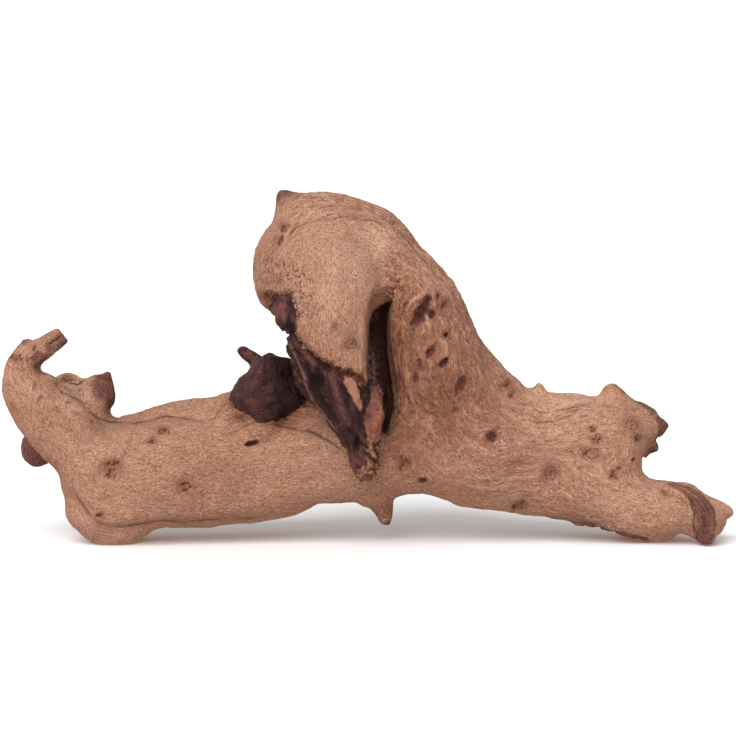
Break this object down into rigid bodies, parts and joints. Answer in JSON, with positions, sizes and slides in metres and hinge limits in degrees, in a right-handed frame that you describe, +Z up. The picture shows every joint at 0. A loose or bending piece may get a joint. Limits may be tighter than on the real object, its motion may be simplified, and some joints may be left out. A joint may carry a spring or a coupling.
{
  "type": "mopani driftwood",
  "caption": "Gnarled root wood with a hooked left end, an arched trunk that comes down in front as a beak beside a deep crevice, and a forked right end.",
  "frame": {"origin": "under the middle of the piece's box, on the surface that it stands on", "axes": "+X along the piece from the hooked end to the forked end, -Y towards the side with the beak, +Z up"},
  "size_m": [0.35, 0.0992, 0.1687],
  "materials": {
    "mopani_wood": "dry sandblasted grain"
  },
  "bodies": {
    "root": {"mopani_wood": "mopani_wood"}
  },
  "joints": []
}
